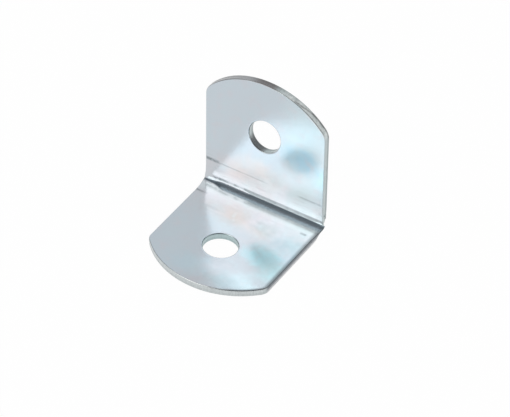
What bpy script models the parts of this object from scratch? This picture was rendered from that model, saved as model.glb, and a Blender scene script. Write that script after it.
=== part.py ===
"""Angle bracket: a blank of steel sheet with two punched holes and two arched ends, folded square.

Metres, +Z up. The fold runs along X. The base leg lies on Z = 0 and points towards -Y, and the
upright leg stands at the +Y side. The origin is on the plane that the base lies on, under the
middle of the bracket's box.
"""

from math import atan2, ceil, cos, pi, radians, sin, sqrt, tan

import bmesh
import bpy
from mathutils import Vector

# Driving dimensions
BRACKET_WIDTH = 0.022
SHEET_THICKNESS = 0.0012
BASE_LENGTH = 0.0226
UPRIGHT_HEIGHT = 0.0255
BEND_OUTSIDE_RADIUS = 0.0034
BEND_INSIDE_RADIUS = 0.0024
BASE_END_RISE = 0.0050
UPRIGHT_END_RISE = 0.0055
BASE_CORNER_RADIUS = 0.0018
UPRIGHT_CORNER_RADIUS = 0.0027
HOLE_DIAMETER = 0.0062
BASE_HOLE_FROM_BACK = 0.0133
UPRIGHT_HOLE_HEIGHT = 0.0150
CREASE_FLOOR_OUT = 0.00195
CREASE_SHOULDER_OUT = 0.00040
CREASE_SHOULDER_UP = 0.00013
CREASE_WALL_TURN = radians(24.0)
CREASE_BOTTOM_IN = 0.00016
CREASE_LIP_OUT = 0.00015
CREASE_LIP_UP = 0.00087
CREASE_TOP_UP = 0.00195
CREASE_END_GAP = 0.0002
EDGE_ROUNDING = 0.00014

# How far the punches reach past the sheet, and how near the crease comes to the legs' flat faces
CUTTER_OVERRUN = 0.001
CREASE_CLEARANCE = 0.00001

# Fineness of the round shapes
BEND_SEGMENTS = 16
HOLE_SEGMENTS = 64
FLANK_SEGMENTS = 5
ROUNDING_SEGMENTS = 2
END_STEP = radians(2.6)
CORNER_STEP = radians(9.0)

# Surface of the plated steel
ZINC_COLOUR = (0.70, 0.76, 0.80, 1.0)
ZINC_ROUGHNESS = 0.28

# Sizes that follow from the driving dimensions
HALF_WIDTH = BRACKET_WIDTH / 2
BACK_Y = BASE_LENGTH / 2


def clear_scene():
    """Remove the objects that the scene starts with."""
    for item in list(bpy.data.objects):
        bpy.data.objects.remove(item, do_unlink=True)


def arc_points(centre, radius, start, end, step):
    """Points on a flat arc from one angle to another, with both ends and the middle included."""
    count = 2 * max(1, ceil(abs(end - start) / (2 * step)))
    angles = [start + (end - start) * i / count for i in range(count + 1)]
    return [(centre[0] + radius * cos(a), centre[1] + radius * sin(a)) for a in angles]


def leg_outline(reach, rise, corner_radius):
    """Outline of one flat leg, as (across, distance from the outer corner).

    It runs from the fold up one straight side, round the small corner, along the arched end and
    back down the other side. rise is how far the arch stands above the points where its circle
    would meet the straight sides.
    """
    end_radius = (rise**2 + HALF_WIDTH**2) / (2 * rise)
    end_centre = reach - end_radius
    corner_across = HALF_WIDTH - corner_radius
    corner_out = sqrt((end_radius - corner_radius) ** 2 - corner_across**2)
    meet = atan2(corner_out, corner_across)
    corner_centre = end_centre + corner_out
    right = arc_points((corner_across, corner_centre), corner_radius, 0, meet, CORNER_STEP)
    arch = arc_points((0, end_centre), end_radius, meet, pi - meet, END_STEP)
    left = arc_points((-corner_across, corner_centre), corner_radius, pi - meet, pi, CORNER_STEP)
    return right + arch[1:-1] + left


def bend_stations(depth, radius):
    """(y, z) round the bend from the base to the upright, for the face at a depth in the sheet."""
    centre_y = BACK_Y - depth - radius
    centre_z = depth + radius
    angles = [-pi / 2 + pi / 2 * i / BEND_SEGMENTS for i in range(BEND_SEGMENTS + 1)]
    return [(centre_y + radius * cos(a), centre_z + radius * sin(a)) for a in angles]


def folded_face(mesh, depth, radius):
    """One wide face of the folded sheet: flat base, bend and flat upright.

    It returns the points round the face: up the right side of the bend, round the upright's end,
    down the left side and round the base's end.
    """
    rows = [
        (mesh.verts.new((-HALF_WIDTH, y, z)), mesh.verts.new((HALF_WIDTH, y, z)))
        for y, z in bend_stations(depth, radius)
    ]
    for (left, right), (next_left, next_right) in zip(rows, rows[1:]):
        mesh.faces.new((left, next_left, next_right, right))

    base = [
        mesh.verts.new((across, BACK_Y - out, depth))
        for across, out in leg_outline(BASE_LENGTH, BASE_END_RISE, BASE_CORNER_RADIUS)
    ]
    mesh.faces.new([rows[0][0], rows[0][1], *base])

    upright = [
        mesh.verts.new((across, BACK_Y - depth, out))
        for across, out in leg_outline(UPRIGHT_HEIGHT, UPRIGHT_END_RISE, UPRIGHT_CORNER_RADIUS)
    ]
    mesh.faces.new([rows[-1][1], rows[-1][0], *reversed(upright)])

    right_side = [right for left, right in rows]
    left_side = [left for left, right in reversed(rows)]
    return [*right_side, *upright, *left_side, *reversed(base)]


def folded_sheet():
    """The folded blank: its outer and inner faces, joined by the cut edge all round."""
    mesh = bmesh.new()
    outer = folded_face(mesh, 0, BEND_OUTSIDE_RADIUS)
    inner = folded_face(mesh, SHEET_THICKNESS, BEND_INSIDE_RADIUS)
    for i, (below, above) in enumerate(zip(outer, inner)):
        mesh.faces.new((outer[i - 1], inner[i - 1], above, below))
    bmesh.ops.recalc_face_normals(mesh, faces=mesh.faces)
    return mesh


def add_object(name, mesh):
    """Turn a bmesh into a named object in the scene."""
    data = bpy.data.meshes.new(name)
    mesh.to_mesh(data)
    mesh.free()
    item = bpy.data.objects.new(name, data)
    bpy.context.scene.collection.objects.link(item)
    return item


def as_cutter(item):
    """Keep a tool's shape out of the finished part."""
    item.hide_render = True
    item.display_type = "WIRE"
    return item


def rod(name, radius, length, segments, centre, axis):
    """A round cutter, closed at both ends, that lies along an axis."""
    mesh = bmesh.new()
    turn = Vector((0, 0, 1)).rotation_difference(axis).to_matrix().to_4x4()
    bmesh.ops.create_cone(
        mesh,
        cap_ends=True,
        segments=segments,
        radius1=radius,
        radius2=radius,
        depth=length,
        matrix=turn,
    )
    item = add_object(name, mesh)
    item.location = centre
    return as_cutter(item)


def bar(name, section, length):
    """A cutter of constant section, given as (y, z), that lies along X about the middle."""
    mesh = bmesh.new()
    left = [mesh.verts.new((-length / 2, y, z)) for y, z in section]
    right = [mesh.verts.new((length / 2, y, z)) for y, z in section]
    mesh.faces.new(left)
    mesh.faces.new(right)
    for i in range(len(section)):
        mesh.faces.new((left[i - 1], left[i], right[i], right[i - 1]))
    bmesh.ops.recalc_face_normals(mesh, faces=mesh.faces)
    return as_cutter(add_object(name, mesh))


def cut(item, tool):
    """Take a cutter's shape out of an object."""
    modifier = item.modifiers.new("cut " + tool.name, "BOOLEAN")
    modifier.operation = "DIFFERENCE"
    modifier.solver = "EXACT"
    modifier.object = tool


def round_edges(item):
    """Round the sheared edges, as tumbling and plating leave them."""
    modifier = item.modifiers.new("tumbled edges", "BEVEL")
    modifier.width = EDGE_ROUNDING
    modifier.segments = ROUNDING_SEGMENTS
    modifier.limit_method = "ANGLE"
    modifier.angle_limit = radians(40)
    modifier.use_clamp_overlap = False


def punch_holes(item):
    """Punch one round screw hole through each leg."""
    length = SHEET_THICKNESS + 2 * CUTTER_OVERRUN
    base_centre = Vector((0, BACK_Y - BASE_HOLE_FROM_BACK, SHEET_THICKNESS / 2))
    upright_centre = Vector((0, BACK_Y - SHEET_THICKNESS / 2, UPRIGHT_HOLE_HEIGHT))
    up = Vector((0, 0, 1))
    back = Vector((0, 1, 0))
    radius = HOLE_DIAMETER / 2
    cut(item, rod("base_hole_punch", radius, length, HOLE_SEGMENTS, base_centre, up))
    cut(item, rod("upright_hole_punch", radius, length, HOLE_SEGMENTS, upright_centre, back))


def crease_section():
    """Section of the crease, as (distance from the upright's inner face, height above the base's).

    A hollow flank rises from the base to a shoulder, and a steeper wall runs on from there to a
    bottom that lies inside the upright. Over the bottom hangs a lip, and from the lip the face
    leans back to the flat of the upright.
    """
    run = CREASE_FLOOR_OUT - CREASE_SHOULDER_OUT
    shares = [i / FLANK_SEGMENTS for i in range(FLANK_SEGMENTS + 1)]
    flank = [
        (CREASE_FLOOR_OUT - run * share, CREASE_CLEARANCE + CREASE_SHOULDER_UP * share**3)
        for share in shares
    ]
    wall_run = CREASE_SHOULDER_OUT + CREASE_BOTTOM_IN
    bottom_up = CREASE_SHOULDER_UP + wall_run * tan(CREASE_WALL_TURN)
    return [
        (BEND_INSIDE_RADIUS, CREASE_CLEARANCE),
        *flank,
        (-CREASE_BOTTOM_IN, bottom_up),
        (CREASE_LIP_OUT, CREASE_LIP_UP),
        (CREASE_CLEARANCE, CREASE_TOP_UP),
        (CREASE_CLEARANCE, BEND_INSIDE_RADIUS),
        (BEND_INSIDE_RADIUS, BEND_INSIDE_RADIUS),
    ]


def coin_crease(item):
    """Press the crease into the inside of the fold, to just short of the sheet's two sides."""
    inner_y = BACK_Y - SHEET_THICKNESS
    section = [(inner_y - out, SHEET_THICKNESS + up) for out, up in crease_section()]
    cut(item, bar("crease_nose", section, BRACKET_WIDTH - 2 * CREASE_END_GAP))


def zinc_material():
    """Bright zinc plate."""
    material = bpy.data.materials.new("zinc_plate")
    material.use_nodes = True
    shader = material.node_tree.nodes["Principled BSDF"]
    shader.inputs["Base Color"].default_value = ZINC_COLOUR
    shader.inputs["Roughness"].default_value = ZINC_ROUGHNESS
    shader.inputs["Metallic"].default_value = 1.0
    return material


def build_bracket():
    """Fold, punch and finish the bracket."""
    bracket = add_object("angle_bracket", folded_sheet())
    punch_holes(bracket)
    round_edges(bracket)
    coin_crease(bracket)
    bracket.data.materials.append(zinc_material())
    bracket.data.shade_smooth()
    bracket.data.set_sharp_from_angle(angle=radians(30))
    return bracket


clear_scene()
build_bracket()
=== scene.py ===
"""Looks of the angle bracket: bright zinc plate on a punched and folded steel sheet.

The frame gives the bracket's box. The visible piece is the same blank as the solid's, with the
detail that a press leaves: rolled and sheared edges, a coined crease, faint die lines and a
slightly wavy sheet. Sizes are in metres. The finishes work in millimetres of the flat blank.
"""

import logging
from bisect import bisect_right
from dataclasses import dataclass, field, replace
from enum import Enum
from math import atan2, ceil, cos, exp, pi, radians, sin, sqrt, tan
from typing import Any, Callable, Sequence, Union

import bmesh
import bpy
from mathutils import Matrix, Vector
from mathutils.geometry import delaunay_2d_cdt
from mathutils.noise import noise

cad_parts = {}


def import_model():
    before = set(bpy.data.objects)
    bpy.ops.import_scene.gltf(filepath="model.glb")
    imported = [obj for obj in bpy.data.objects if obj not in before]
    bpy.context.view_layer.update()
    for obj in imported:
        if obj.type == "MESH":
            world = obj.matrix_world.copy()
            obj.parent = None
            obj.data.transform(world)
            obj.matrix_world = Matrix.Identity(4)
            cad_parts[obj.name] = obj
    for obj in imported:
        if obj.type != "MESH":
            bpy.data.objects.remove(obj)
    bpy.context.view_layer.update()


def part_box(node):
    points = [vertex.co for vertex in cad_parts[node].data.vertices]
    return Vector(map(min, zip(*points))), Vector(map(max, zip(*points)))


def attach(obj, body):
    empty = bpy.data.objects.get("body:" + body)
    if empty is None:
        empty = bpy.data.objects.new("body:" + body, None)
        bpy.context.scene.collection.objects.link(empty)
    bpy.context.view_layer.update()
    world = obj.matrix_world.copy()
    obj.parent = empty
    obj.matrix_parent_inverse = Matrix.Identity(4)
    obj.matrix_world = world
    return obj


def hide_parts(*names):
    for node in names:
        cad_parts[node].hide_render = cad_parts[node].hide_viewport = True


LOG = logging.getLogger("angle_bracket")
MM = 0.001
BRACKET_NODE = "angle_bracket"
BRACKET_BODY = "root"
BLANK_PLACE = "blank_place_mm"
LOOK_FROM_CORNER = 8.8 * MM
NOISE_MIDDLE = 0.5
INSIDE_WITHOUT_HOLES = 2
JOINED_WITHIN_MM = 1e-6

Colour = tuple[float, float, float]
Flat = tuple[float, float]

# The values at which a share is 0 and at which it is full
Ramp = tuple[float, float]

# Places on a leg, each with the angle in degrees that the face has there from the leg's flat
Turns = tuple[Flat, ...]


def rise(value: float, low: float, high: float) -> float:
    """A smooth rise from 0 at low to 1 at high, or a fall where low is the larger."""
    share = min(1.0, max(0.0, (value - low) / (high - low)))
    return share * share * (3.0 - 2.0 * share)


def add_object(name: str, data: Any) -> bpy.types.Object:
    """Put data into the scene as a named object, from a mesh that is being built or ready data.

    Args:
        name: the object's name.
        data: a mesh that is being built, or finished data.

    Returns:
        The object.
    """
    if isinstance(data, bmesh.types.BMesh):
        built, data = data, bpy.data.meshes.new(name)
        built.to_mesh(data)
        built.free()
    item = bpy.data.objects.new(name, data)
    bpy.context.scene.collection.objects.link(item)
    return item


class Wire:
    """A node's output, which can be used in expressions on values."""

    def __init__(self, graph: "Graph", socket: bpy.types.NodeSocket) -> None:
        """Keep the socket and the graph that it belongs to."""
        self.graph = graph
        self.socket = socket

    def sibling(self, name: str) -> "Wire":
        """Another output of the same node."""
        return Wire(self.graph, self.socket.node.outputs[name])

    def __add__(self, other: "Value") -> "Wire":
        """This plus another value."""
        return self.graph.math("ADD", self, other)

    def __sub__(self, other: "Value") -> "Wire":
        """This less another value."""
        return self.graph.math("SUBTRACT", self, other)

    def __rsub__(self, other: "Value") -> "Wire":
        """Another value less this."""
        return self.graph.math("SUBTRACT", other, self)

    def __mul__(self, other: "Value") -> "Wire":
        """This times another value."""
        return self.graph.math("MULTIPLY", self, other)

    def __truediv__(self, other: "Value") -> "Wire":
        """This over another value."""
        return self.graph.math("DIVIDE", self, other)

    def __pow__(self, other: "Value") -> "Wire":
        """This raised to a power."""
        return self.graph.math("POWER", self, other)

    def __abs__(self) -> "Wire":
        """This value without its sign."""
        return self.graph.math("ABSOLUTE", self)

    __radd__ = __add__
    __rmul__ = __mul__


Value = Union[Wire, float]


class Graph:
    """A node tree, with a method for each kind of step that the finishes use."""

    def __init__(self, owner: Union[bpy.types.Material, bpy.types.World]) -> None:
        """Empty the node tree of a material or a world.

        Args:
            owner: the material or the world.
        """
        owner.use_nodes = True
        self.owner = owner
        self.tree = owner.node_tree
        self.tree.nodes.clear()

    @classmethod
    def of_material(cls, name: str) -> "Graph":
        """The empty tree of a new material."""
        return cls(bpy.data.materials.new(name))

    def _make(
        self,
        kind: str,
        settings: dict[str, Any] | None,
        inputs: dict[Union[str, int], Any] | None,
    ) -> bpy.types.Node:
        """Add a node, set its own properties and then its inputs.

        Args:
            kind: the node's type.
            settings: the node's own properties.
            inputs: values or wires by socket name or number.

        Returns:
            The node.
        """
        made = self.tree.nodes.new(kind)
        for key, value in (settings or {}).items():
            setattr(made, key, value)
        for key, value in (inputs or {}).items():
            socket = made.inputs[key]
            if isinstance(value, Wire):
                self.tree.links.new(value.socket, socket)
            else:
                socket.default_value = value
        return made

    def node(
        self,
        kind: str,
        settings: dict[str, Any] | None = None,
        inputs: dict[Union[str, int], Any] | None = None,
        output: Union[str, int] = 0,
    ) -> Wire:
        """Add a node, set it up and wire its inputs.

        Args:
            kind: the node's type, such as ShaderNodeTexNoise.
            settings: the node's own properties.
            inputs: values or wires by socket name or number.
            output: the socket that the returned wire stands for.

        Returns:
            The wire of the chosen output.
        """
        return Wire(self, self._make(kind, settings, inputs).outputs[output])

    def math(self, operation: str, *values: Value) -> Wire:
        """One Math node on up to three values."""
        return self.node("ShaderNodeMath", {"operation": operation}, dict(enumerate(values)))

    def limit(self, value: Value) -> Wire:
        """A value held between 0 and 1."""
        return self.node("ShaderNodeClamp", None, {"Value": value})

    def step(self, value: Value, low: float, high: float) -> Wire:
        """A smooth rise from 0 at low to 1 at high, or a fall where low is the larger.

        Args:
            value: what rises.
            low: the value at which the share is 0.
            high: the value at which the share is 1.

        Returns:
            The share.
        """
        return self.node(
            "ShaderNodeMapRange",
            {"interpolation_type": "SMOOTHSTEP"},
            {"Value": value, "From Min": low, "From Max": high},
        )

    def blend(self, share: Value, first: Any, second: Any) -> Wire:
        """Two colours mixed by a share, 0 for the first and 1 for the second.

        Args:
            share: the share of the second colour.
            first: a colour or its wire.
            second: a colour or its wire.

        Returns:
            The mixed colour.
        """
        first, second = (c if isinstance(c, Wire) else (*c, 1.0) for c in (first, second))
        mixed = {0: share, 6: first, 7: second}
        return self.node("ShaderNodeMix", {"data_type": "RGBA"}, mixed, output=2)

    def bump(
        self, height: Wire, strength: float, distance: float, under: Wire | None = None
    ) -> Wire:
        """A surface slope from a height, over another slope where one is given.

        Args:
            height: the height, as a share of the distance.
            strength: how much of it shows.
            distance: the height's full size.
            under: the slope that it lies on.

        Returns:
            The slope.
        """
        inputs = {"Strength": strength, "Distance": distance, "Height": height}
        if under is not None:
            inputs["Normal"] = under
        return self.node("ShaderNodeBump", None, inputs)

    def metal(self, tint: Wire, roughness: Value, normal: Wire) -> Any:
        """Finish the tree as bare metal and return the material."""
        inputs = {"Base Color": tint, "Metallic": 1.0, "Roughness": roughness, "Normal": normal}
        return self.finish(self.node("ShaderNodeBsdfPrincipled", None, inputs))

    def finish(self, shader: Wire) -> Any:
        """Wire the shader to the output and return the material or the world.

        Args:
            shader: the finished shader.

        Returns:
            The material or the world.
        """
        kind = "World" if isinstance(self.owner, bpy.types.World) else "Material"
        self._make(f"ShaderNodeOutput{kind}", None, {"Surface": shader})
        return self.owner


@dataclass(frozen=True)
class BlankPlace:
    """Where a spot of the surface lies on the flat blank, in millimetres, inside a node tree."""

    g: Graph
    whole: Wire
    across: Wire
    along: Wire
    depth: Wire

    @classmethod
    def read(cls, g: Graph) -> "BlankPlace":
        """The place that the mesh carries.

        Args:
            g: the finish's node tree.

        Returns:
            The place.
        """
        whole = g.node("ShaderNodeAttribute", {"attribute_name": BLANK_PLACE}, None, "Vector")
        across = g.node("ShaderNodeSeparateXYZ", None, {0: whole})
        return cls(g, whole, across, across.sibling("Y"), across.sibling("Z"))

    def distance(self, centre: Flat, reach: Flat = (1.0, 1.0)) -> Wire:
        """Distance from a point of the blank, counted in its reach each way.

        Args:
            centre: the point.
            reach: the distance that counts as 1, across and along.

        Returns:
            The distance.
        """
        aside = (self.across - centre[0]) / reach[0]
        away = (self.along - centre[1]) / reach[1]
        return self.g.math("SQRT", aside**2.0 + away**2.0)

    def inside(self, arch: tuple[Flat, float]) -> Wire:
        """Distance inside an arched end, given as its circle's centre and radius."""
        centre, radius = arch
        return radius - self.distance(centre)


@dataclass(frozen=True)
class Clouds:
    """Soft noise from about 0 to 1, drawn out in each direction where the squeeze is under 1."""

    size_mm: float
    detail: float = 3.0
    roughness: float = 0.6
    squeeze: tuple[float, float, float] = (1.0, 1.0, 1.0)

    def over(self, spot: BlankPlace) -> Wire:
        """The noise over the blank.

        Args:
            spot: the place on the blank.

        Returns:
            The noise.
        """
        scaled = {0: spot.whole, 1: self.squeeze}
        place = spot.g.node("ShaderNodeVectorMath", {"operation": "MULTIPLY"}, scaled)
        inputs = {"Vector": place, "Scale": 1.0 / self.size_mm}
        inputs |= {"Detail": self.detail, "Roughness": self.roughness}
        return spot.g.node("ShaderNodeTexNoise", None, inputs)


def swing(clouds: Wire, size: float) -> Wire:
    """Noise that swings to both sides of 0, by up to about half of a size."""
    return (clouds - NOISE_MIDDLE) * size


def at_least_half(share: Wire) -> Wire:
    """A share moved up into the range from a half to 1."""
    return share * 0.5 + 0.5


@dataclass(frozen=True)
class Band:
    """A tint on part of the blank, with a soft ramp at each side that bounds it."""

    colour: Colour
    strength: float = 1.0
    across: tuple[Ramp, ...] = ()
    along: tuple[Ramp, ...] = ()

    def share(self, spot: BlankPlace, *masks: Wire) -> Value:
        """How much of the tint a place takes.

        Args:
            spot: the place on the blank.
            masks: further shares that hold the tint back.

        Returns:
            The share, from 0 to the tint's strength.
        """
        share: Value = self.strength
        for place, ramps in ((spot.across, self.across), (spot.along, self.along)):
            for ramp in ramps:
                share = spot.g.step(place, *ramp) * share
        for mask in masks:
            share = mask * share
        return share

    def over(self, spot: BlankPlace, tint: Wire, *masks: Wire) -> Wire:
        """Lay the tint over another, held back by masks where they are given."""
        return spot.g.blend(self.share(spot, *masks), tint, self.colour)


@dataclass(frozen=True)
class PressMark:
    """A shallow line that the edge of the die leaves across part of the sheet."""

    along: float
    start: float
    end: float
    depth: float
    dark: float
    half_width: float
    fade: float
    tint_reach: float = 1.5

    def depth_at(self, x: float, s: float) -> float:
        """How far the inner face is pressed in at a place of the blank.

        Args:
            x: across the blank.
            s: along the blank.

        Returns:
            The depth.
        """
        shown = rise(x, self.start - self.fade, self.start)
        shown *= rise(x, self.end + self.fade, self.end)
        return self.depth * shown * exp(-(((s - self.along) / self.half_width) ** 2))

    def shade(self, spot: BlankPlace) -> Wire:
        """How much the line darkens the plate at a place, up to the mark's own darkness.

        Args:
            spot: the place on the blank.

        Returns:
            The share of the dark tint.
        """
        g = spot.g
        start, end, fade = self.start / MM, self.end / MM, self.fade / MM
        reach = self.tint_reach * self.half_width / MM
        near = g.step(abs(spot.along - self.along / MM), reach, 0.0)
        shown = g.step(spot.across, start - fade, start) * g.step(spot.across, end + fade, end)
        return near * shown * self.dark


PRESS_MARKS = (
    PressMark(4.62 * MM, -10.5 * MM, -9.2 * MM, 0.030 * MM, 0.95, 0.34 * MM, 1.2 * MM),
    PressMark(4.55 * MM, -9.0 * MM, -1.2 * MM, 0.014 * MM, 0.45, 0.14 * MM, 2.5 * MM),
    PressMark(4.65 * MM, 7.0 * MM, 10.2 * MM, 0.015 * MM, 0.50, 0.20 * MM, 1.0 * MM),
    PressMark(-2.75 * MM, -10.8 * MM, -10.0 * MM, 0.040 * MM, 0.70, 0.22 * MM, 1.6 * MM),
    PressMark(-2.62 * MM, 8.7 * MM, 9.5 * MM, 0.030 * MM, 0.80, 0.26 * MM, 0.3 * MM),
)


@dataclass(frozen=True)
class StainAndReflection:
    """A soft tinted cloud, placed on the blank in millimetres: partly a tint of the zinc's
    passivated skin, partly painted reflection and shade.
    """

    middle: Flat
    reach: Flat
    colour: Colour
    unevenness: float = 1.2
    edge: Ramp = (1.0, 0.15)

    def over(self, spot: BlankPlace, tint: Wire, wander: Wire) -> Wire:
        """Lay the tint cloud over a tint, with soft noise that keeps its edge irregular."""
        far = spot.distance(self.middle, self.reach) + swing(wander, self.unevenness)
        return spot.g.blend(spot.g.step(far, *self.edge), tint, self.colour)


# Tint clouds on the inner face: partly stains of the passivated skin, partly painted reflection and
# shade, such as the darker blue where the upright reflects the base's hole.
STAINS_AND_REFLECTIONS = (
    StainAndReflection((6.9, 12.2), (5.0, 3.6), (0.43, 0.625, 0.735)),
    StainAndReflection((-2.0, 7.0), (4.5, 3.0), (0.615, 0.61, 0.62)),
    StainAndReflection((10.2, 4.9), (3.2, 3.2), (0.54, 0.60, 0.63)),
    StainAndReflection((1.2, 3.7), (5.0, 2.2), (0.645, 0.69, 0.74)),
    StainAndReflection((-5.2, 4.6), (4.2, 3.4), (0.615, 0.595, 0.605)),
    StainAndReflection((-2.4, -4.7), (6.0, 4.0), (0.515, 0.52, 0.53)),
    StainAndReflection((8.2, -6.3), (4.2, 3.4), (0.43, 0.50, 0.545)),
    StainAndReflection((3.7, -4.9), (3.6, 2.8), (0.44, 0.475, 0.49)),
    StainAndReflection((6.7, -10.6), (4.8, 3.8), (0.47, 0.69, 0.75)),
    StainAndReflection((9.9, -13.0), (4.0, 3.4), (0.54, 0.72, 0.76)),
    StainAndReflection((7.8, -17.0), (4.5, 3.5), (0.565, 0.66, 0.70)),
    StainAndReflection((3.8, -18.8), (4.5, 2.6), (0.46, 0.54, 0.58)),
    StainAndReflection((-2.5, -17.7), (5.5, 3.4), (0.52, 0.62, 0.68)),
)


@dataclass(frozen=True)
class ZincPlate:
    """Bright zinc over a smooth cold-rolled sheet: a soft mirror, a little blue, faintly stained,
    with painted light and shade in the crease and along the rims.

    Places are in millimetres of the flat blank.
    """

    base: Colour = (0.545, 0.605, 0.655)
    warm: Colour = (0.56, 0.58, 0.615)
    inner_face: Ramp = (0.7, 1.0)
    drift: Clouds = Clouds(5.0, roughness=0.55)
    drift_size: float = 8.0
    fold_reach: Ramp = (9.0, 3.0)
    blue: Band = Band((0.58, 0.69, 0.725), 0.6, ((1.0, 7.0),), ((-0.5, 0.5),))
    dull: Band = Band((0.53, 0.545, 0.58), 0.8, ((-6.0, 2.0),), ((-1.0, -3.0),))
    wander: Clouds = Clouds(2.6, roughness=0.55)
    mottle: Clouds = Clouds(1.6)
    pink: Band = Band((0.60, 0.57, 0.60), 0.30)
    pink_edge: Ramp = (0.50, 0.70)
    cyan: Band = Band((0.525, 0.63, 0.665), 0.35)
    cyan_edge: Ramp = (0.47, 0.28)
    lines: Clouds = Clouds(0.42, 2.0, 0.55, (0.10, 1.0, 1.0))
    line_edge: Ramp = (0.56, 0.74)
    drawn: Band = Band((0.40, 0.42, 0.44), 0.30)

    # Painted highlight: a lighter tone on the crease's lower flank, where it reflects the key
    # light.
    flank: Band = Band((0.63, 0.68, 0.71), along=((-2.8, -1.5), (-0.45, -0.65)))
    # Painted shade in the crease: darker tones on the notch's wall and in the notch, where the
    # crease's dark band falls.
    middle_left: Ramp = (-3.4, -2.4)
    middle_right: Ramp = (11.0, 9.0)
    wall: Band = Band((0.28, 0.32, 0.35), along=((-0.42, -0.15),))
    wall_top: Ramp = (0.14, -0.02)
    wall_lift: float = 0.20
    notch: Band = Band((0.34, 0.38, 0.41), 1.0, ((-9.6, -8.6),), ((0.33, 0.51), (1.03, 0.97)))
    # Painted shade: a dark line under the lip, above the notch, broken by gaps.
    lip_shade: Band = Band((0.31, 0.34, 0.36), 1.0, ((-9.6, -8.6),), ((1.75, 1.50),))
    lip_shade_low: Ramp = (0.97, 1.05)
    lip_shade_lift: float = 0.20
    gaps: Clouds = Clouds(1.6, 2.0, squeeze=(1.0, 0.2, 1.0))
    gap_edge: Ramp = (0.45, 0.62)
    gaps_at_sides: float = 0.75
    gaps_closed: float = 0.55

    pressed: Colour = (0.20, 0.235, 0.25)
    breaks: Clouds = Clouds(0.7, 2.0)
    break_edge: Ramp = (0.30, 0.60)
    # Painted shade along the base's side and end rims, painted highlight along the upright's top
    # rim.
    side_rim_shade: Band = Band((0.20, 0.215, 0.23), 0.85, ((10.15, 10.80),), ((0.0, -1.5),))
    end_rim_shade: Band = Band((0.20, 0.215, 0.23), 0.75, ((5.0, 6.5),), ((-13.0, -14.0),))
    end_rim_shade_edge: Ramp = (0.55, 0.20)
    base_arch: tuple[Flat, float] = ((0.0, -6.756), 14.6)
    top_rim_highlight: Band = Band((0.74, 0.79, 0.81), 1.0, ((6.5, 8.0),), ((17.5, 18.5),))
    top_rim_highlight_edge: Ramp = (0.30, 0.15)
    upright_arch: tuple[Flat, float] = ((0.0, 10.506), 13.75)

    bow: float = 0.38 * MM
    bow_fall: Ramp = (-5.5, -16.5)
    bow_start: Ramp = (-2.0, -6.0)
    grain: Clouds = Clouds(0.10, 2.0, squeeze=(1.0, 0.35, 1.0))
    grain_strength: float = 0.10
    grain_height: float = 0.02 * MM
    haze: Clouds = Clouds(1.1)
    haze_size: float = 0.08
    roughness: float = 0.19

    def _clouded(self, spot: BlankPlace, tint: Wire, drift: Wire) -> Wire:
        """Lay the plating's soft colours and its drawn lines over a tint.

        Args:
            spot: the place on the blank.
            tint: the colour so far.
            drift: noise that moves the colours' sides.

        Returns:
            The new colour.
        """
        g = spot.g
        drifted = replace(spot, across=spot.across + drift)
        tint = self.dull.over(drifted, self.blue.over(drifted, tint))
        wander = self.wander.over(spot)
        # Lay the stains together with the painted reflections and shade.
        for stain_and_reflection in STAINS_AND_REFLECTIONS:
            tint = stain_and_reflection.over(spot, tint, wander)
        mottle = self.mottle.over(spot)
        tint = self.pink.over(spot, tint, g.step(mottle, *self.pink_edge))
        tint = self.cyan.over(spot, tint, g.step(mottle, *self.cyan_edge))
        lines = g.step(self.lines.over(spot), *self.line_edge)
        return self.drawn.over(spot, tint, lines, g.step(abs(spot.along), *self.fold_reach))

    def _creased(self, spot: BlankPlace, tint: Wire) -> Wire:
        """Lay the painted light and shade of the crease over a tint: a painted highlight on its
        flank, painted shade on its wall and notch, and a painted shadow line under its lip.

        Args:
            spot: the place on the blank.
            tint: the colour so far.

        Returns:
            The new colour.
        """
        g = spot.g
        # Painted highlight on the flank, then painted shade on the wall, in the notch and under the
        # lip.
        tint = self.flank.over(spot, tint)
        middle = g.step(spot.across, *self.middle_left) * g.step(spot.across, *self.middle_right)
        under_top = g.step(spot.along - middle * self.wall_lift, *self.wall_top)
        tint = self.wall.over(spot, tint, under_top)
        tint = self.notch.over(spot, tint)
        above_notch = g.step(spot.along - (1.0 - middle) * self.lip_shade_lift, *self.lip_shade_low)
        gaps = g.step(self.gaps.over(spot), *self.gap_edge)
        unbroken = 1.0 - gaps * (self.gaps_at_sides - middle * self.gaps_closed)
        return self.lip_shade.over(spot, tint, above_notch, unbroken)

    def _pressed(self, spot: BlankPlace, tint: Wire) -> Wire:
        """Lay the press marks over a tint, a little broken.

        Args:
            spot: the place on the blank.
            tint: the colour so far.

        Returns:
            The new colour.
        """
        g = spot.g
        broken = at_least_half(g.step(self.breaks.over(spot), *self.break_edge))
        for mark in PRESS_MARKS:
            tint = g.blend(mark.shade(spot) * broken, tint, self.pressed)
        return tint

    def _rim_light_and_shade(self, spot: BlankPlace, tint: Wire) -> Wire:
        """Lay painted shade and painted highlight along the rolled rims over a tint: dark lines by
        the base's sides and end, a light line by the upright's top right.

        Args:
            spot: the place on the blank.
            tint: the colour so far.

        Returns:
            The new colour.
        """
        near_end = spot.g.step(spot.inside(self.base_arch), *self.end_rim_shade_edge)
        near_top = spot.g.step(spot.inside(self.upright_arch), *self.top_rim_highlight_edge)
        tint = self.side_rim_shade.over(spot, tint)
        tint = self.end_rim_shade.over(spot, tint, near_end)
        return self.top_rim_highlight.over(spot, tint, near_top)

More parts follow.
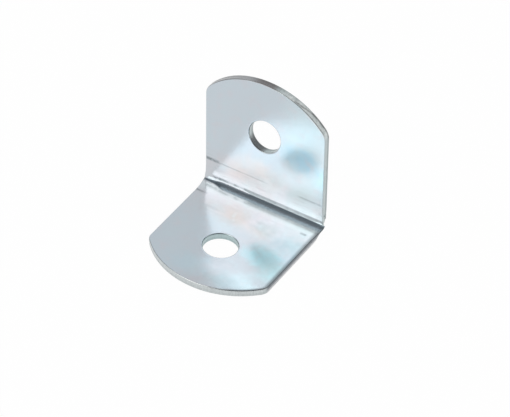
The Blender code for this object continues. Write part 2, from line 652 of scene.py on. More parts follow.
    def _slope(self, spot: BlankPlace, inner: Wire) -> Wire:
        """The base's slight bow on the inner face, with a fine grain over it.

        Args:
            spot: the place on the blank.
            inner: the share of the inner face.

        Returns:
            The slope.
        """
        g = spot.g
        level = 0.5 - g.step(spot.along, *self.bow_fall)
        bow = g.bump(level * g.step(spot.along, *self.bow_start) * inner, 1.0, self.bow)
        return g.bump(self.grain.over(spot), self.grain_strength, self.grain_height, bow)

    def material(self) -> bpy.types.Material:
        """Build the plate's material.

        Returns:
            The finished material.
        """
        g = Graph.of_material("zinc_plate")
        spot = BlankPlace.read(g)
        inner = g.step(spot.depth, *self.inner_face)
        drift = swing(self.drift.over(spot), self.drift_size)
        near_fold = g.step(abs(spot.along) + drift, *self.fold_reach)
        outer_tint = g.blend(near_fold, self.base, self.warm)
        inner_tint = self._creased(spot, self._clouded(spot, outer_tint, drift))
        inner_tint = self._rim_light_and_shade(spot, self._pressed(spot, inner_tint))
        tint = g.blend(inner, outer_tint, inner_tint)
        roughness = self.roughness + swing(self.haze.over(spot), self.haze_size)
        return g.metal(tint, roughness, self._slope(spot, inner))


@dataclass(frozen=True)
class ShearedEdge:
    """The cut edge of the sheet: a smooth burnished band and a rougher torn one, both plated over,
    with painted light and shade on parts of it.

    Places are in millimetres of the flat blank.
    """

    torn: Colour = (0.44, 0.50, 0.50)
    burnished: Colour = (0.50, 0.57, 0.575)
    burnished_from: Ramp = (0.49, 0.61)
    ragged: Clouds = Clouds(0.5, squeeze=(1.0, 1.0, 0.1))
    ragged_size: float = 0.3
    # Painted sheen: the base's front end edge made lighter, where it reflects the bright floor.
    front: Band = Band((0.60, 0.64, 0.645), 0.9, along=((-15.5, -17.0),))
    # Painted shade: the upright's arched top edge darker over its left and middle, darkest at the
    # middle, where it faces the dark ceiling.
    top: Band = Band((0.40, 0.41, 0.42), 1.0, ((3.0, -1.0),), ((18.0, 18.4),))
    top_dark: Band = Band((0.20, 0.19, 0.19), 1.0, ((-3.5, -0.8), (2.8, 0.8)), ((18.0, 18.4),))

    bore_edge: Ramp = (4.2, 3.9)
    upright_hole: Flat = (0.0, 13.86)
    # Painted shade: the lower left wall of the upright's hole made dark, where it faces the dark
    # back right of the room.
    upright_bore_shade: Band = Band((0.18, 0.19, 0.195))
    dark_side: Flat = (-0.60, -0.80)
    dark_side_edge: Ramp = (2.25, 2.95)
    base_hole: Flat = (-0.36, -11.96)
    base_bore: Band = Band((0.43, 0.56, 0.575), 0.8)

    patches: Clouds = Clouds(0.7, roughness=0.65)
    patch_edge: Ramp = (0.38, 0.58)
    # Painted highlight: a bright, patchy tone on the edge at the upright arch's upper right.
    corner: Band = Band((0.88, 0.91, 0.90), 1.0, ((1.5, 5.0),), ((17.9, 19.3),))
    corner_depth: Ramp = (0.10, 0.25)
    tear: Band = Band((0.20, 0.19, 0.19), 1.0, ((4.5, 6.0),), ((17.5, 18.5),))
    tear_start: float = 0.20
    tear_climb: float = 0.65
    tear_climbs: Ramp = (21.0, 23.4)
    tear_edge: Ramp = (0.24, 0.06)
    tear_strength: float = 0.85
    tear_patched: float = 0.35

    # Painted light and shade on the base's side edges: a light tone near the outer face, a painted
    # shadow towards the inner face.
    base_side: Band = Band(
        (0.62, 0.63, 0.64), 1.0, ((9.7, 10.6),), ((0.6, -0.6), (-16.6, -15.7))
    )
    shadowed: Colour = (0.16, 0.18, 0.20)
    shadow_depth: Ramp = (0.35, 0.75)

    streaks: Clouds = Clouds(0.16, roughness=0.65, squeeze=(1.0, 1.0, 0.12))
    streak_edge: Ramp = (0.35, 0.75)
    streak: Band = Band((0.30, 0.31, 0.33), 0.35)
    streak_strength: float = 0.35
    streak_height: float = 0.03 * MM
    torn_roughness: float = 0.46
    burnished_gain: float = 0.18
    streak_roughness: float = 0.15

    def _bores(self, spot: BlankPlace, tint: Wire) -> Wire:
        """Lay painted shade on the lower left wall of the upright's hole, and a tint on the base
        hole's wall, over a tint.

        Args:
            spot: the place on the blank.
            tint: the colour so far.

        Returns:
            The new colour.
        """
        g = spot.g
        in_bore = g.step(spot.distance(self.upright_hole), *self.bore_edge)
        aside, away = spot.across - self.upright_hole[0], spot.along - self.upright_hole[1]
        towards = aside * self.dark_side[0] + away * self.dark_side[1]
        tint = self.upright_bore_shade.over(spot, tint, in_bore, g.step(towards, *self.dark_side_edge))
        in_bore = g.step(spot.distance(self.base_hole), *self.bore_edge)
        return self.base_bore.over(spot, tint, in_bore)

    def _top_right(self, spot: BlankPlace, tint: Wire, ragged: Wire) -> Wire:
        """Lay a painted highlight on the corner of the upright's right arch, and the torn dark line
        there, over a tint.

        Args:
            spot: the place on the blank.
            tint: the colour so far.
            ragged: noise that moves the torn line.

        Returns:
            The new colour.
        """
        g = spot.g
        patchy = g.step(self.patches.over(spot), *self.patch_edge)
        deep = g.step(spot.depth, *self.corner_depth)
        tint = self.corner.over(spot, tint, at_least_half(patchy), deep)
        line = g.step(spot.along, *self.tear_climbs) * self.tear_climb + self.tear_start
        off_line = g.step(abs(spot.depth - line + ragged), *self.tear_edge)
        return self.tear.over(
            spot, tint, off_line, self.tear_strength - patchy * self.tear_patched
        )

    def _base_side(self, spot: BlankPlace, tint: Wire) -> Wire:
        """Lay painted light and painted shade on the base's side edges over a tint: lighter towards
        the outer face, a painted shadow towards the inner one.

        Args:
            spot: the place on the blank.
            tint: the colour so far.

        Returns:
            The new colour.
        """
        g = spot.g
        share = self.base_side.share(replace(spot, across=abs(spot.across)))
        shadow = g.step(spot.depth, *self.shadow_depth)
        return g.blend(share, tint, g.blend(shadow, self.base_side.colour, self.shadowed))

    def material(self) -> bpy.types.Material:
        """Build the edge's material.

        Returns:
            The finished material.
        """
        g = Graph.of_material("sheared_edge")
        spot = BlankPlace.read(g)
        ragged = swing(self.ragged.over(spot), self.ragged_size)
        band = g.step(spot.depth + ragged, *self.burnished_from)
        # Painted sheen on the base's front end edge.
        tint = self.front.over(spot, g.blend(band, self.torn, self.burnished))
        # Painted shade along the upright's top edge.
        tint = self.top_dark.over(spot, self.top.over(spot, tint))
        tint = self._top_right(spot, self._bores(spot, tint), ragged)
        tint = self._base_side(spot, tint)
        streaks = self.streaks.over(spot)
        tint = self.streak.over(spot, tint, g.step(streaks, *self.streak_edge))
        roughness = self.torn_roughness - band * self.burnished_gain
        roughness += swing(streaks, self.streak_roughness)
        return g.metal(tint, roughness, g.bump(streaks, self.streak_strength, self.streak_height))


class Face(Enum):
    """The two wide faces of the sheet."""

    INNER = "inner"
    OUTER = "outer"


class Coat(Enum):
    """The sheet's two finishes, by the material slot that each takes."""

    PLATE = 0
    EDGE = 1


@dataclass(frozen=True)
class LegEnd:
    """Arched end of a leg, with a small corner at each side.

    The reach is the tip's distance from the outer corner, and the rise is how far the arch stands
    above the points where its circle would meet the sides.
    """

    half_width: float
    reach: float
    rise: float
    corner_radius: float
    corner_spacing: float = 0.5
    arch_spacing: float = 0.7
    corner_least: int = 3

    @property
    def radius(self) -> float:
        """Radius of the arch."""
        return (self.rise**2 + self.half_width**2) / (2 * self.rise)

    @property
    def centre(self) -> float:
        """Distance of the arch's centre from the outer corner."""
        return self.reach - self.radius

    @property
    def corner_across(self) -> float:
        """Distance of the right corner's centre from the middle."""
        return self.half_width - self.corner_radius

    @property
    def side_reach(self) -> float:
        """Distance from the outer corner at which the straight sides end."""
        return self.centre + sqrt((self.radius - self.corner_radius) ** 2 - self.corner_across**2)

    def line(self, inset: float, step: float) -> list[Flat]:
        """Points round the end, from its right corner to its left one.

        Args:
            inset: how far inside the edge the line runs.
            step: how far apart the points are, at most.

        Returns:
            The points, as across and distance from the outer corner.
        """
        across, corner = self.corner_across, self.side_reach
        meet = atan2(corner - self.centre, across)
        corner_count = ceil(meet * self.corner_radius / (self.corner_spacing * step))
        corner_count += self.corner_least
        arch_count = 2 * ceil((pi / 2 - meet) * self.radius / (self.arch_spacing * step))
        small = self.corner_radius - inset
        large = self.radius - inset
        points: list[Flat] = []
        for i in range(corner_count + 1):
            angle = meet * i / corner_count
            points.append((across + small * cos(angle), corner + small * sin(angle)))
        for i in range(1, arch_count):
            angle = meet + (pi - 2 * meet) * i / arch_count
            points.append((large * cos(angle), self.centre + large * sin(angle)))
        for i in range(corner_count + 1):
            angle = pi - meet + meet * i / corner_count
            points.append((-across + small * cos(angle), corner + small * sin(angle)))
        return points


@dataclass
class Blank:
    """The flat blank before folding, measured across and along from the middle of the fold."""

    width: float
    base_reach: float
    upright_reach: float
    thickness: float = 1.2 * MM
    bend_inside_radius: float = 2.4 * MM
    bend_outside_radius: float = 3.4 * MM
    base_end_rise: float = 5.0 * MM
    upright_end_rise: float = 5.5 * MM
    base_corner_radius: float = 1.8 * MM
    upright_corner_radius: float = 2.7 * MM
    hole_diameter: float = 5.8 * MM
    base_hole_shape: tuple[float, float, float] = (1.0, 0.94, 0.0)
    upright_hole_shape: tuple[float, float, float] = (0.97, 1.10, radians(-20.0))
    base_hole_from_back: float = 13.2 * MM
    base_hole_across: float = -0.36 * MM
    upright_hole_height: float = 15.1 * MM
    crease_half: float = 1.60 * MM
    coarse_step: float = 0.60 * MM
    bend_step: float = 0.12 * MM
    crease_step: float = 0.04 * MM
    hole_points: int = 96

    @property
    def base_end(self) -> LegEnd:
        """The base's end."""
        return LegEnd(self.width / 2, self.base_reach, self.base_end_rise, self.base_corner_radius)

    @property
    def upright_end(self) -> LegEnd:
        """The upright's end."""
        return LegEnd(
            self.width / 2, self.upright_reach, self.upright_end_rise, self.upright_corner_radius
        )

    @property
    def bend_length(self) -> float:
        """Length of sheet in the bend, along its middle."""
        return pi / 2 * (self.bend_inside_radius + self.thickness / 2)

    def along_of(self, reach: float) -> float:
        """Place along the blank of a flat point that lies a reach from the outer corner."""
        return reach - self.thickness - self.bend_inside_radius + self.bend_length / 2

    def rows(self) -> list[float]:
        """Places along the blank where its straight sides have points, closest in the bend.

        Returns:
            The places, from the base to the upright.
        """
        low = -self.along_of(self.base_end.side_reach)
        high = self.along_of(self.upright_end.side_reach)
        bend = self.bend_length / 2
        fine = self.crease_half
        rows: list[float] = []
        stretches = (
            (low, -bend, self.coarse_step),
            (-bend, -fine, self.bend_step),
            (-fine, fine, self.crease_step),
            (fine, bend, self.bend_step),
            (bend, high, self.coarse_step),
        )
        for start, end, step in stretches:
            count = max(1, round((end - start) / step))
            rows += [start + (end - start) * i / count for i in range(count)]
        return rows + [high]

    def outline(self, inset: float) -> list[Flat]:
        """The blank's closed outline, anticlockwise, run at an inset inside its edge.

        Args:
            inset: how far inside the edge the line runs.

        Returns:
            The points.
        """
        side = self.rows()[1:-1]
        half = self.width / 2 - inset
        top = self.upright_end.line(inset, self.coarse_step)
        low = self.base_end.line(inset, self.coarse_step)
        right = [(half, s) for s in side]
        left = [(-half, s) for s in reversed(side)]
        upright = [(x, self.along_of(out)) for x, out in top]
        base = [(x, -self.along_of(out)) for x, out in reversed(low)]
        return right + upright + left + base

    def hole_centres(self) -> tuple[Flat, Flat]:
        """Centres of the base's and the upright's holes."""
        return (
            (self.base_hole_across, -self.along_of(self.base_hole_from_back)),
            (0.0, self.along_of(self.upright_hole_height)),
        )

    def hole(self, centre: Flat, inset: float) -> list[Flat]:
        """A hole's rim, clockwise, run at an inset inside the sheet's material.

        Args:
            centre: the hole's centre.
            inset: how far outside the rim the line runs.

        Returns:
            The points.
        """
        radius = self.hole_diameter / 2
        shape = self.base_hole_shape if centre[1] < 0.0 else self.upright_hole_shape
        across_by, along_by, lean = shape
        wide = radius * across_by + inset
        tall = radius * along_by + inset
        points: list[Flat] = []
        for i in range(self.hole_points):
            angle = -2 * pi * i / self.hole_points
            x, s = wide * cos(angle), tall * sin(angle)
            aside = x * cos(lean) - s * sin(lean)
            away = x * sin(lean) + s * cos(lean)
            points.append((centre[0] + aside, centre[1] + away))
        return points


@dataclass
class Crease:
    """The notch that the punch coins along the inside of the fold.

    Its section is drawn in the square between the two inner faces, as distance from the upright's
    and height above the base's. From the base it rises slowly, then as a steeper wall to the
    notch's bottom, and turns back under a low lip that fades out up the upright. Each turn is the
    angle, in degrees, that the face has there from the flat of its leg.
    """

    radius: float
    flank_turns: Turns = (
        (1.30 * MM, 0.0),
        (0.80 * MM, 1.7),
        (0.42 * MM, 4.5),
        (0.20 * MM, 8.0),
        (0.05 * MM, 26.0),
        (-0.48 * MM, 26.0),
    )
    lip_turns: Turns = (
        (2.40 * MM, 0.0),
        (2.15 * MM, 2.0),
        (1.80 * MM, 4.0),
        (1.50 * MM, 6.5),
        (1.30 * MM, 6.5),
        (1.20 * MM, 4.5),
        (0.93 * MM, 2.0),
    )
    steps: int = 8
    bottom_share: float = 0.562
    lip_share: float = 0.712
    points: list[Flat] = field(default_factory=list)
    way: list[float] = field(default_factory=list)

    def __post_init__(self) -> None:
        """Draw the section and measure along its flank and its lip."""
        flank = [(self.radius, 0.0), *self._follow(self.flank_turns)]
        lip = [(out, up) for up, out in reversed(self._follow(self.lip_turns))]
        self.points = flank + lip
        self.way = self._measure(flank, 0.0, self.bottom_share)
        self.way += self._measure(lip, self.lip_share, 1.0)

    @staticmethod
    def _measure(points: Sequence[Flat], start: float, end: float) -> list[float]:
        """Shares from start to end at which a line's points lie, by the length along it.

        Args:
            points: the line.
            start: the first point's share.
            end: the last point's share.

        Returns:
            One share for each point.
        """
        way = [0.0]
        for (x0, y0), (x1, y1) in zip(points, points[1:]):
            way.append(way[-1] + sqrt((x1 - x0) ** 2 + (y1 - y0) ** 2))
        return [start + (end - start) * part / way[-1] for part in way]

    def _follow(self, turns: Turns) -> list[Flat]:
        """Points of a face that starts flat and turns as given, as (place on the leg, height).

        Args:
            turns: the face's turns.

        Returns:
            The points.
        """
        height = 0.0
        points = [(turns[0][0], height)]
        for (start, turn), (end, next_turn) in zip(turns, turns[1:]):
            step = (start - end) / self.steps
            for i in range(self.steps):
                middle = turn + (next_turn - turn) * (i + 0.5) / self.steps
                height += step * tan(radians(middle))
                points.append((start - step * (i + 1), height))
        return points

    def at(self, share: float) -> Flat:
        """Point on the section at a share of the way from the base to the upright.

        Args:
            share: the share of the way.

        Returns:
            The point.
        """
        i = max(0, min(bisect_right(self.way, share) - 1, len(self.points) - 2))
        part = (share - self.way[i]) / (self.way[i + 1] - self.way[i])
        (x0, y0), (x1, y1) = self.points[i], self.points[i + 1]
        return x0 + (x1 - x0) * part, y0 + (y1 - y0) * part


@dataclass
class ShallowCrease(Crease):
    """The notch at the left side of the sheet, where the lip is pressed down over most of it."""

    flank_turns: Turns = (
        (1.30 * MM, 0.0),
        (0.80 * MM, 4.0),
        (0.42 * MM, 10.5),
        (0.20 * MM, 14.0),
        (0.05 * MM, 26.0),
        (-0.20 * MM, 26.0),
    )
    lip_turns: Turns = (
        (2.40 * MM, 0.0),
        (2.00 * MM, 1.0),
        (1.55 * MM, 3.0),
        (1.35 * MM, 14.0),
        (1.15 * MM, 14.0),
        (1.00 * MM, 2.0),
        (0.40 * MM, 0.0),
    )


@dataclass
class Fold:
    """Carries points of the flat blank to their places on the folded bracket."""

    blank: Blank
    back: float
    wave_height: float = 0.006 * MM
    wave_length: float = 8.0 * MM
    wave_place: float = 0.7
    far_wave_share: float = 1.5
    far_wave_scale: float = 0.4
    far_wave_shift: float = 5.0
    far_wave_place: float = 3.1
    swell: float = 0.28 * MM
    drawn_in: float = 0.24 * MM
    swell_reach: float = 1.5 * MM
    swell_width: float = 1.2 * MM
    shallow_from: float = -7.2 * MM
    shallow_to: float = -10.4 * MM
    crease_count: int = 24
    creases: list[Crease] = field(default_factory=list)

    def __post_init__(self) -> None:
        """Make the creases that go with the bend's inside, from the deep one to the shallow one."""
        radius = self.blank.bend_inside_radius
        deep, low = Crease(radius), ShallowCrease(radius)
        for i in range(self.crease_count + 1):
            share = i / self.crease_count
            flank = self._between(deep.flank_turns, low.flank_turns, share)
            lip = self._between(deep.lip_turns, low.lip_turns, share)
            self.creases.append(Crease(radius, flank, lip))

    @staticmethod
    def _between(first: Turns, second: Turns, share: float) -> Turns:
        """A table of turns that lies at a share of the way between two.

        Args:
            first: the table at share 0.
            second: the table at share 1.
            share: the share of the way.

        Returns:
            The table.
        """
        return tuple(
            (a0 + (b0 - a0) * share, a1 + (b1 - a1) * share)
            for (a0, a1), (b0, b1) in zip(first, second)
        )

    def _wave(self, x: float, s: float) -> float:
        """Small unevenness of the rolled sheet at a place of the blank.

        Args:
            x: across the blank.
            s: along the blank.

        Returns:
            The height.
        """
        scale = 1 / self.wave_length
        near = noise(Vector((x * scale, s * scale, self.wave_place)))
        x_far = x * scale * self.far_wave_scale + self.far_wave_shift
        far = noise(Vector((x_far, s * scale * self.far_wave_scale, self.far_wave_place)))
        return self.wave_height * (near + self.far_wave_share * far)

    def _outer(self, s: float) -> Flat:
        """Place on the outer face, as (y, z), of a place along the blank.

        Args:
            s: along the blank.

        Returns:
            The place.
        """
        b = self.blank
        out = b.bend_outside_radius
        half = b.bend_length / 2
        flat = b.thickness + b.bend_inside_radius
        arc = pi / 2 * out
        ratio = (2 * (flat - out) + arc) / b.bend_length
        past = (s + half) * (ratio if abs(s) < half else 1.0) - (flat - out)
        if s < -half or past < 0.0:
            return self.back - out + past, 0.0
        if s > half:
            return self.back, flat + (s - half)
        if past > arc:
            return self.back, out + (past - arc)
        turn = past / out
        return self.back - out + out * sin(turn), out - out * cos(turn)

    def _inner(self, x: float, s: float) -> tuple[float, float, float]:
        """Place on the inner face, as (y, z), and how far the sheet has turned there.

        Args:
            x: across the blank.
            s: along the blank.

        Returns:
            The place's y and z, and the turn in radians.
        """
        b = self.blank
        half = b.bend_length / 2
        if abs(s) >= half:
            beyond = b.bend_inside_radius + abs(s) - half
            out, up = (0.0, beyond) if s > 0 else (beyond, 0.0)
            turn = pi / 2 if s > 0 else 0.0
        else:
            share = (s + half) / b.bend_length
            turn = share * pi / 2
            shallow = rise(x, self.shallow_from, self.shallow_to)
            out, up = self.creases[round(shallow * self.crease_count)].at(share)
        return self.back - b.thickness - out, b.thickness + up, turn

    def place(self, x: float, s: float, depth: float) -> Vector:
        """Where a point of the blank goes.

        Args:
            x: across the blank.
            s: along the blank, from the middle of the fold.
            depth: height above the outer face, from 0 to the thickness.

        Returns:
            The point on the folded bracket, in the frame.
        """
        b = self.blank
        share = depth / b.thickness
        y_out, z_out = self._outer(s)
        y_in, z_in, turn = self._inner(x, s)
        lift = self._wave(x, s) * self._free(s)
        lift -= sum(mark.depth_at(x, s) for mark in PRESS_MARKS) * share
        y_in -= lift * sin(turn)
        z_in += lift * cos(turn)
        widened = (self.swell + self.drawn_in) * share - self.drawn_in
        near_side = max(0.0, 1.0 - (b.width / 2 - abs(x)) / self.swell_width)
        aside = widened * exp(-((s / self.swell_reach) ** 2)) * near_side**2
        x += aside if x > 0 else -aside
        return Vector((x, y_out + (y_in - y_out) * share, z_out + (z_in - z_out) * share))

    def _free(self, s: float) -> float:
        """Share of the waviness at a place, none at the bend, where the press holds the sheet."""
        return min(1.0, abs(s) / self.blank.bend_length)


@dataclass
class Rim:
    """Section of the sheet's cut edge, from the inner face to the outer one."""

    thickness: float
    inner_roll: float = 0.17 * MM
    outer_roll: float = 0.10 * MM
    torn_inset: float = 0.025 * MM
    burnished: float = 0.45 * MM
    tear_half: float = 0.04 * MM
    support: float = 0.05 * MM
    roll_count: int = 5

    def profile(self) -> list[Flat]:
        """Points of the section, as inset from the widest edge and height above the outer face.

        Returns:
            The points, from the inner face to the outer one.
        """
        t = self.thickness
        inner, outer = self.inner_roll, self.outer_roll
        quarter = [pi / 2 * i / self.roll_count for i in range(self.roll_count + 1)]
        top = [(inner * (1 - sin(a)), t - inner * (1 - cos(a))) for a in quarter]
        low = [(self.torn_inset + outer * (1 - cos(a)), outer * (1 - sin(a))) for a in quarter]
        tear = t - self.inner_roll - self.burnished
        wall = [(0.0, tear + self.tear_half), (self.torn_inset, tear - self.tear_half)]
        return top + wall + low


@dataclass
class BracketSheet:
    """The folded sheet as one mesh, with its two finishes.

    The plated rows are the rows of faces of the rim, counted from the inner face, that carry the
    plate's finish, as the last one does too.
    """

    blank: Blank
    fold: Fold
    rim: Rim
    plate: ZincPlate = field(default_factory=ZincPlate)
    edge: ShearedEdge = field(default_factory=ShearedEdge)
    clear_of_edge: float = 0.30 * MM
    clear_of_arch: float = 0.2 * MM
    hole_room: float = 1.1
    side_columns: tuple[float, ...] = (0.5 * MM, 0.8 * MM, 1.1 * MM)
    column_gap: float = 0.2 * MM
    plated_rows: tuple[int, ...] = (0, 1, 2)
    _note: Any = field(default=None, init=False, repr=False)

    def _loop(self, mesh: bmesh.types.BMesh, points: Sequence[Flat], depth: float) -> list[Any]:
        """Make one closed row of vertices at a depth."""
        return [self._vertex(mesh, x, s, depth) for x, s in points]

    def _vertex(self, mesh: bmesh.types.BMesh, x: float, s: float, depth: float) -> Any:
        """Make a vertex at a place of the blank, and note the place on it in millimetres.

        Args:
            mesh: the mesh that is being built.
            x: across the blank.
            s: along the blank.
            depth: height above the outer face.

        Returns:
            The vertex.
        """
        vertex = mesh.verts.new(self.fold.place(x, s, depth))
        vertex[self._note] = Vector((x / MM, s / MM, depth / MM))
        return vertex

    @staticmethod
    def _bridge(mesh: bmesh.types.BMesh, upper: list[Any], lower: list[Any], coat: Coat) -> None:
        """Join two closed rows of the same count with faces.

        Args:
            mesh: the mesh that is being built.
            upper: the row nearer the inner face.
            lower: the next row.
            coat: the finish of the faces.
        """
        count = len(upper)
        for i in range(count):
            j = (i + 1) % count
            face = mesh.faces.new((upper[j], upper[i], lower[i], lower[j]))
            face.material_index = coat.value
            face.smooth = True

    def _inside(self, x: float, s: float, inset: float) -> bool:
        """Whether a place lies inside the blank's edge and outside its holes, clear of both.

        Args:
            x: across the blank.
            s: along the blank.
            inset: how far inside the edge the face starts.

        Returns:
            True where the face can have a point.
        """
        b = self.blank
        need = inset + self.clear_of_edge
        hole = self.hole_room * b.hole_diameter / 2 + need
        for centre in b.hole_centres():
            if sqrt((x - centre[0]) ** 2 + (s - centre[1]) ** 2) < hole:
                return False
        if abs(x) > b.width / 2 - need:
            return False
        end = b.upright_end if s > 0 else b.base_end
        beyond = max(0.0, abs(s) - b.along_of(end.centre))
        return sqrt(x**2 + beyond**2) < end.radius - need - self.clear_of_arch

    def _grid(self, inset: float) -> list[Flat]:
        """Places inside the face where it gets points of its own.

        Args:
            inset: how far inside the edge the face starts.

        Returns:
            The places.
        """
        b = self.blank
        rows = b.rows()
        top = b.along_of(b.upright_reach)
        low = -b.along_of(b.base_reach)
        for start, end in ((rows[-1], top), (rows[0], low)):
            count = max(2, round(abs(end - start) / b.coarse_step))
            rows += [start + (end - start) * i / count for i in range(1, count)]
        half = ceil(b.width / 2 / b.coarse_step)
        columns = [b.coarse_step * i for i in range(-half, half + 1)]
        ends = [b.width / 2 - aside for aside in self.side_columns]
        columns = [x for x in columns if abs(x) < ends[-1] - self.column_gap]
        columns += ends + [-x for x in ends]
        return [(x, s) for s in rows for x in columns if self._inside(x, s, inset)]

    def _face(
        self, mesh: bmesh.types.BMesh, side: Face, inset: float, loops: list[list[Any]]
    ) -> None:
        """Fill one wide face of the sheet between its outline and its holes.

        Args:
            mesh: the mesh that is being built.
            side: which of the two faces.
            inset: how far inside the sheet's edge the face's loops run.
            loops: vertices already made round the face, the outline first.
        """
        depth = self.blank.thickness if side is Face.INNER else 0.0
        flat_loops = [self.blank.outline(inset)]
        flat_loops += [self.blank.hole(c, inset) for c in self.blank.hole_centres()]
        points = [Vector(p) / MM for loop in flat_loops for p in loop]
        known = [v for loop in loops for v in loop]
        rings = []
        start = 0
        for loop in flat_loops:
            rings.append(list(range(start, start + len(loop))))
            start += len(loop)
        points += [Vector(p) / MM for p in self._grid(inset)]
        places, _, triangles, sources, *_ = delaunay_2d_cdt(
            points, [], rings, INSIDE_WITHOUT_HOLES, JOINED_WITHIN_MM
        )
        vertices = []
        for place, source in zip(places, sources):
            first = min(source) if source else -1
            if 0 <= first < len(known):
                vertices.append(known[first])
            else:
                vertices.append(self._vertex(mesh, place.x * MM, place.y * MM, depth))
        for triangle in triangles:
            corners = [vertices[i] for i in triangle]
            if side is Face.OUTER:
                corners.reverse()
            face = mesh.faces.new(corners)
            face.smooth = True

    def build(self) -> bpy.types.Object:
        """Build and dress the bracket, attach it to its body and hide the frame's node.

        Returns:
            The finished piece.
        """
        mesh = bmesh.new()
        self._note = mesh.verts.layers.float_vector.new(BLANK_PLACE)
        profile = self.rim.profile()
        inset_in = profile[0][0] + self.rim.support
        inset_out = profile[-1][0] + self.rim.support
        section = [(inset_in, self.blank.thickness), *profile, (inset_out, 0.0)]
        outer_faces: list[list[Any]] = []
        inner_faces: list[list[Any]] = []
        lines: list[Callable[[float], list[Flat]]] = [self.blank.outline]
        lines += [lambda inset, c=c: self.blank.hole(c, inset) for c in self.blank.hole_centres()]
        for line in lines:
            rows = [self._loop(mesh, line(inset), depth) for inset, depth in section]
            plated = (*self.plated_rows, len(rows) - 2)
            for i, (upper, lower) in enumerate(zip(rows, rows[1:])):
                self._bridge(mesh, upper, lower, Coat.PLATE if i in plated else Coat.EDGE)
            inner_faces.append(rows[0])
            outer_faces.append(rows[-1])
        self._face(mesh, Face.INNER, inset_in, inner_faces)
        self._face(mesh, Face.OUTER, inset_out, outer_faces)

        piece = add_object("bracket_sheet", mesh)
        for finish in (self.plate, self.edge):
            piece.data.materials.append(finish.material())
        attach(piece, BRACKET_BODY)
        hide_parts(BRACKET_NODE)
        return piece


@dataclass(frozen=True)
class PaleFloor:
    """White paper floor that keeps a faint shadow of what stands on it."""

    colour: Colour = (0.93, 0.93, 0.93)
    plain_share: float = 0.985

    def material(self) -> bpy.types.Material:
        """Build the floor's material.

        Returns:
            The finished material.
        """
        g = Graph.of_material("pale_floor")
        path = g.node("ShaderNodeLightPath")
        seen = [path.sibling(f"Is {way} Ray") for way in ("Camera", "Glossy", "Transmission")]
        share = g.limit(seen[0] + seen[1] + seen[2]) * self.plain_share
        paper = g.node("ShaderNodeBsdfDiffuse", None, {"Color": (*self.colour, 1.0)})
        plain = g.node("ShaderNodeEmission", None, {"Color": (1.0, 1.0, 1.0, 1.0), "Strength": 1.0})
        return g.finish(g.node("ShaderNodeMixShader", None, {0: share, 1: paper, 2: plain}))


@dataclass
class SoftBox:
    """A square studio light that looks at the object."""

    name: str
    azimuth: float
    elevation: float
    distance: float
    width: float
    height: float
    radiance: float
    colour: Colour = (1.0, 1.0, 1.0)

    def build(self, target: Vector) -> bpy.types.Object:
        """Put the light up.

        Args:
            target: the point that it looks at.

        Returns:
            The light.
        """
        lamp = bpy.data.lights.new(self.name, "AREA")
        lamp.shape = "RECTANGLE"
        lamp.size = self.width
        lamp.size_y = self.height
        lamp.color = self.colour
        lamp.energy = self.radiance * pi * self.width * self.height
        item = add_object(self.name, lamp)
        away = direction(self.azimuth, self.elevation)
        item.location = target + away * self.distance
        item.rotation_euler = away.to_track_quat("Z", "Y").to_euler()
        return item


def direction(azimuth: float, elevation: float) -> Vector:
    """The way from the object to a viewer, with azimuth 0 in front and 90 at its right.

    Args:
        azimuth: degrees round the object.
        elevation: degrees above the floor.

    Returns:
        The way, of length 1.
    """
    a = radians(azimuth)
    e = radians(elevation)
    return Vector((sin(a) * cos(e), -cos(a) * cos(e), sin(e)))


@dataclass
class PhotoCamera:
    """The camera at the photograph's place, with the picture 510 pixels wide."""

    azimuth: float = 31.879
    elevation: float = 41.682
    roll: float = 0.953
    distance: float = 0.48718
    picture_width: float = 510.0
    picture_height: float = 417.0
    focal_pixels: float = 3123.0
    look_x_pixel: float = 237.998
    look_y_pixel: float = 194.372
    film_width: float = 36.0
    nearest: float = 0.01
    furthest: float = 20.0

    def build(self, look: Vector) -> bpy.types.Object:
        """Set the camera up so that a point lands on its pixel.

        Args:
            look: the point that the fitted camera looked at.

        Returns:
            The camera.
        """
        away = direction(self.azimuth, self.elevation)
        flat_right = Vector((cos(radians(self.azimuth)), sin(radians(self.azimuth)), 0.0))
        flat_up = away.cross(flat_right)
        turn = radians(self.roll)
        right = flat_right * cos(turn) + flat_up * sin(turn)
        up = flat_up * cos(turn) - flat_right * sin(turn)
        per_pixel = self.distance / self.focal_pixels
        aside = (self.look_x_pixel - self.picture_width / 2) * per_pixel
        above = -(self.look_y_pixel - self.picture_height / 2) * per_pixel
        place = look + away * self.distance - right * aside - up * above

        lens = bpy.data.cameras.new("photo_camera")
        lens.sensor_width = self.film_width
        lens.lens = self.focal_pixels * self.film_width / self.picture_width
        lens.clip_start = self.nearest
        lens.clip_end = self.furthest
        camera = add_object("photo_camera", lens)
        facing = Matrix((right, up, away)).transposed().to_4x4()
        camera.matrix_world = Matrix.Translation(place) @ facing
        bpy.context.scene.camera = camera
        return camera


@dataclass(frozen=True)
class Glow:
    """A soft bright or dark part of the room round the object."""

    azimuth: float
    elevation: float
    full: float
    reach: float
    colour: Colour


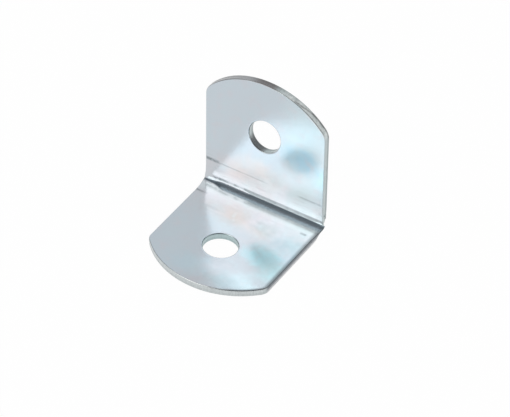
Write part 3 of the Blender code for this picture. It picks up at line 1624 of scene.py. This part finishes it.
@dataclass
class Surround:
    """The room's walls and ceiling, as one dim tone with soft brighter and darker parts."""

    dim: Colour = (0.20, 0.215, 0.225)
    glows: tuple[Glow, ...] = (
        Glow(-32.0, 5.0, 25.0, 50.0, (1.00, 1.00, 1.00)),
        Glow(-148.0, 35.0, 30.0, 50.0, (0.86, 0.87, 0.88)),
        Glow(135.0, 25.0, 20.0, 60.0, (0.62, 0.64, 0.64)),
    )

    def build(self) -> bpy.types.World:
        """Build the world's light.

        Returns:
            The world.
        """
        g = Graph(bpy.data.worlds.new("surround"))
        way = g.node("ShaderNodeTexCoord", output="Generated")
        tone: Any = self.dim
        for glow in self.glows:
            axis = direction(glow.azimuth, glow.elevation)
            product = {"operation": "DOT_PRODUCT"}
            near = g.node("ShaderNodeVectorMath", product, {0: way, 1: axis}, "Value")
            share = g.step(near, cos(radians(glow.reach)), cos(radians(glow.full)))
            tone = g.blend(share, tone, glow.colour)
        return g.finish(g.node("ShaderNodeBackground", None, {"Color": tone, "Strength": 1.0}))


@dataclass
class Studio:
    """Floor, lights and surroundings."""

    floor_size: float = 4.0
    boxes: tuple[SoftBox, ...] = (
        SoftBox("key_box", -32.0, 46.0, 0.50, 0.30, 0.30, 2.08, (1.0, 0.955, 0.895)),
    )

    def build(self, target: Vector) -> None:
        """Build everything that stands round the object.

        Args:
            target: the point that the lights look at.
        """
        mesh = bmesh.new()
        bmesh.ops.create_grid(mesh, x_segments=1, y_segments=1, size=self.floor_size / 2)
        floor = add_object("floor", mesh)
        floor.data.materials.append(PaleFloor().material())
        for box in self.boxes:
            box.build(target)
        bpy.context.scene.world = Surround().build()


def main() -> None:
    """Build the bracket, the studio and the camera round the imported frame."""
    logging.basicConfig(level=logging.INFO, format="%(message)s")
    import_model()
    low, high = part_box(BRACKET_NODE)
    bpy.context.scene.view_settings.view_transform = "Standard"

    blank = Blank(width=high.x - low.x, base_reach=high.y - low.y, upright_reach=high.z - low.z)
    sheet = BracketSheet(blank, Fold(blank, back=high.y), Rim(blank.thickness))
    piece = sheet.build()
    LOG.info("%s: %d faces", piece.name, len(piece.data.polygons))

    look = Vector((0.0, high.y - LOOK_FROM_CORNER, LOOK_FROM_CORNER))
    Studio().build(look)
    PhotoCamera().build(look)
    LOG.info("studio and camera placed")


if __name__ == "__main__":
    main()
